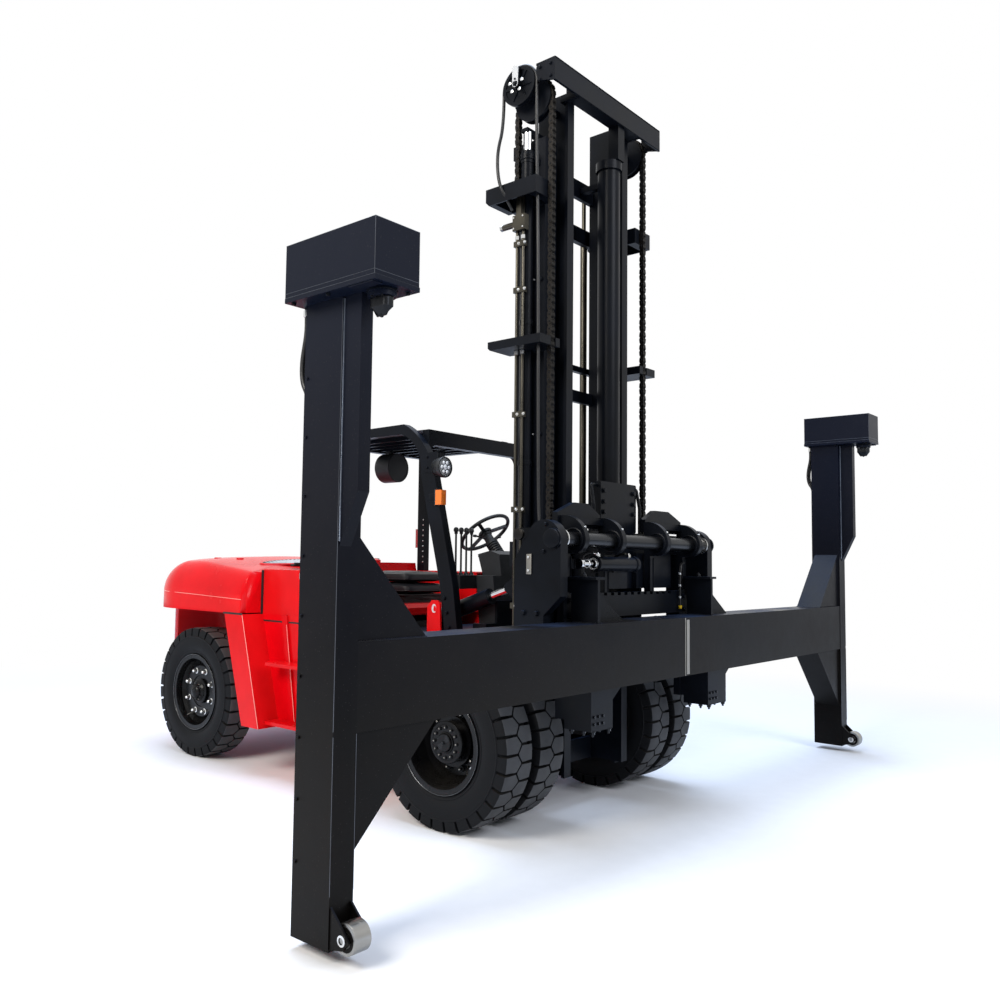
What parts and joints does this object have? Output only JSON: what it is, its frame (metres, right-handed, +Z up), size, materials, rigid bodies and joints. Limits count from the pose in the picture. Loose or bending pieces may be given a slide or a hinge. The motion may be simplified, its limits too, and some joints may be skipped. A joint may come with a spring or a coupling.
{
  "type": "container-handling forklift truck",
  "caption": "Heavy counterbalance forklift truck with a two-stage mast, open cab, twin front drive wheels, rear steering and a wide side-lift frame with twist-locks for empty containers.",
  "frame": {"origin": "on the ground under the middle of the bounding box", "axes": "+X forward along the truck, +Y to the truck's left along the spreader beam, +Z up"},
  "size_m": [4.698, 6.1, 4.747],
  "materials": {
    "red_paint": "glossy red two-pack paint, lightly dusty",
    "black_paint": "satin black paint",
    "wheel_paint": "semi-gloss black wheel enamel",
    "bright_steel": "machined bare steel with rust bloom",
    "zinc_steel": "zinc-plated pipe",
    "chain_steel": "oiled leaf chain",
    "chrome_rod": "hard-chromed rod",
    "engine_iron": "as-cast, painted dark",
    "tyre_rubber": "dusty black tyre rubber",
    "hose_rubber": "smooth hose rubber",
    "cab_plastic": "grained black moulding",
    "seat_vinyl": "black vinyl",
    "lamp_glass": "clear ribbed lamp glass",
    "amber_lens": "amber lens",
    "red_lens": "red lens"
  },
  "bodies": {
    "truck": {"chassis_frame": "black_paint", "drive_axle": "black_paint", "steer_axle": "black_paint", "counterweight": "red_paint", "rear_fittings": "black_paint", "body_sides": "red_paint", "side_panels": "red_paint", "engine": "engine_iron", "hood_hinges": "black_paint", "cab_floor": "black_paint", "front_fenders": "red_paint", "overhead_guard": "black_paint", "rear_work_lamp": "cab_plastic", "dashboard": "cab_plastic", "steering_wheel": "cab_plastic", "headlamps": "cab_plastic", "headlamp_glass": "lamp_glass", "turn_lamps": "amber_lens", "rear_lamps": "red_lens"},
    "hood": {"engine_hood": "red_paint", "seat": "seat_vinyl"},
    "front_right_wheels": {"front_right_rims": "wheel_paint", "front_right_tyres": "tyre_rubber"},
    "front_left_wheels": {"front_left_rims": "wheel_paint", "front_left_tyres": "tyre_rubber"},
    "right_knuckle": {"right_knuckle": "black_paint"},
    "left_knuckle": {"left_knuckle": "black_paint"},
    "rear_right_wheel": {"rear_right_rim": "wheel_paint", "rear_right_tyre": "tyre_rubber"},
    "rear_left_wheel": {"rear_left_rim": "wheel_paint", "rear_left_tyre": "tyre_rubber"},
    "tilt_barrels": {"tilt_barrels": "black_paint"},
    "tilt_rods": {"tilt_rods": "chrome_rod"},
    "outer_mast": {"outer_mast": "black_paint", "lift_barrels": "black_paint", "mast_pipes": "zinc_steel", "rear_chains": "chain_steel"},
    "inner_mast": {"inner_mast": "black_paint", "lift_rods": "chrome_rod", "free_lift_cylinder": "black_paint", "mast_sheaves": "bright_steel", "front_chains": "chain_steel"},
    "carriage": {"carriage_frame": "black_paint", "carriage_shaft": "bright_steel", "shift_barrel": "black_paint"},
    "spreader": {"hanger_frame": "black_paint", "shift_rod": "chrome_rod", "spreader_beam": "black_paint", "spreader_posts": "black_paint", "top_boxes": "black_paint", "lock_plates": "bright_steel", "post_hoses": "hose_rubber"},
    "right_twistlock": {"right_twistlock": "bright_steel"},
    "left_twistlock": {"left_twistlock": "bright_steel"},
    "right_roller": {"right_roller": "bright_steel"},
    "left_roller": {"left_roller": "bright_steel"}
  },
  "joints": [
    {"name": "front_right_spin", "type": "hinge", "parent": "truck", "child": "front_right_wheels", "pos_m": [1.195, -0.285, 0.51], "axis": [0, 1, 0], "continuous": true},
    {"name": "front_left_spin", "type": "hinge", "parent": "truck", "child": "front_left_wheels", "pos_m": [1.195, -0.285, 0.51], "axis": [0, 1, 0], "continuous": true},
    {"name": "right_steer", "type": "hinge", "parent": "truck", "child": "right_knuckle", "pos_m": [-1.575, -0.94, 0.51], "axis": [0, 0, 1], "range_deg": [-35, 35]},
    {"name": "left_steer", "type": "hinge", "parent": "truck", "child": "left_knuckle", "pos_m": [-1.575, 0.37, 0.51], "axis": [0, 0, 1], "range_deg": [-35, 35]},
    {"name": "rear_right_spin", "type": "hinge", "parent": "right_knuckle", "child": "rear_right_wheel", "pos_m": [-1.575, -0.285, 0.51], "axis": [0, 1, 0], "continuous": true},
    {"name": "rear_left_spin", "type": "hinge", "parent": "left_knuckle", "child": "rear_left_wheel", "pos_m": [-1.575, -0.285, 0.51], "axis": [0, 1, 0], "continuous": true},
    {"name": "hood_hinge", "type": "hinge", "parent": "truck", "child": "hood", "pos_m": [-0.829, -0.285, 1.59], "axis": [0, -1, 0], "range_deg": [0, 42]},
    {"name": "mast_tilt", "type": "hinge", "parent": "truck", "child": "outer_mast", "pos_m": [1.195, -0.285, 0.51], "axis": [0, 1, 0], "range_deg": [-8, 5]},
    {"name": "tilt_barrel_swing", "type": "hinge", "parent": "truck", "child": "tilt_barrels", "pos_m": [0.555, -0.285, 1.19], "axis": [0, 1, 0], "range_deg": [-3.9, 2.5]},
    {"name": "tilt_rod_slide", "type": "slide", "parent": "tilt_barrels", "child": "tilt_rods", "axis": [0.9452, 0, 0.3266], "range_m": [-0.121, 0.076]},
    {"name": "mast_lift", "type": "slide", "parent": "outer_mast", "child": "inner_mast", "axis": [0, 0, 1], "range_m": [0, 3]},
    {"name": "carriage_lift", "type": "slide", "parent": "inner_mast", "child": "carriage", "axis": [0, 0, 1], "range_m": [0, 2.4]},
    {"name": "side_shift", "type": "slide", "parent": "carriage", "child": "spreader", "axis": [0, 1, 0], "range_m": [-0.1, 0.1]},
    {"name": "right_lock_turn", "type": "hinge", "parent": "spreader", "child": "right_twistlock", "pos_m": [2.265, -2.9265, 2.62], "axis": [0, 0, 1], "range_deg": [0, 90]},
    {"name": "left_lock_turn", "type": "hinge", "parent": "spreader", "child": "left_twistlock", "pos_m": [2.265, 2.9265, 2.62], "axis": [0, 0, 1], "range_deg": [0, 90]},
    {"name": "right_roller_spin", "type": "hinge", "parent": "spreader", "child": "right_roller", "pos_m": [2.15, -2.9055, 0.112], "axis": [0, 1, 0], "continuous": true},
    {"name": "left_roller_spin", "type": "hinge", "parent": "spreader", "child": "left_roller", "pos_m": [2.15, 2.9055, 0.112], "axis": [0, 1, 0], "continuous": true}
  ],
  "couplings": [
    {"joint": "left_steer", "follows": "right_steer", "ratio": 1},
    {"joint": "tilt_barrel_swing", "follows": "mast_tilt", "ratio": 0.4679},
    {"joint": "tilt_rod_slide", "follows": "mast_tilt", "m_per_rad": 0.8517}
  ]
}
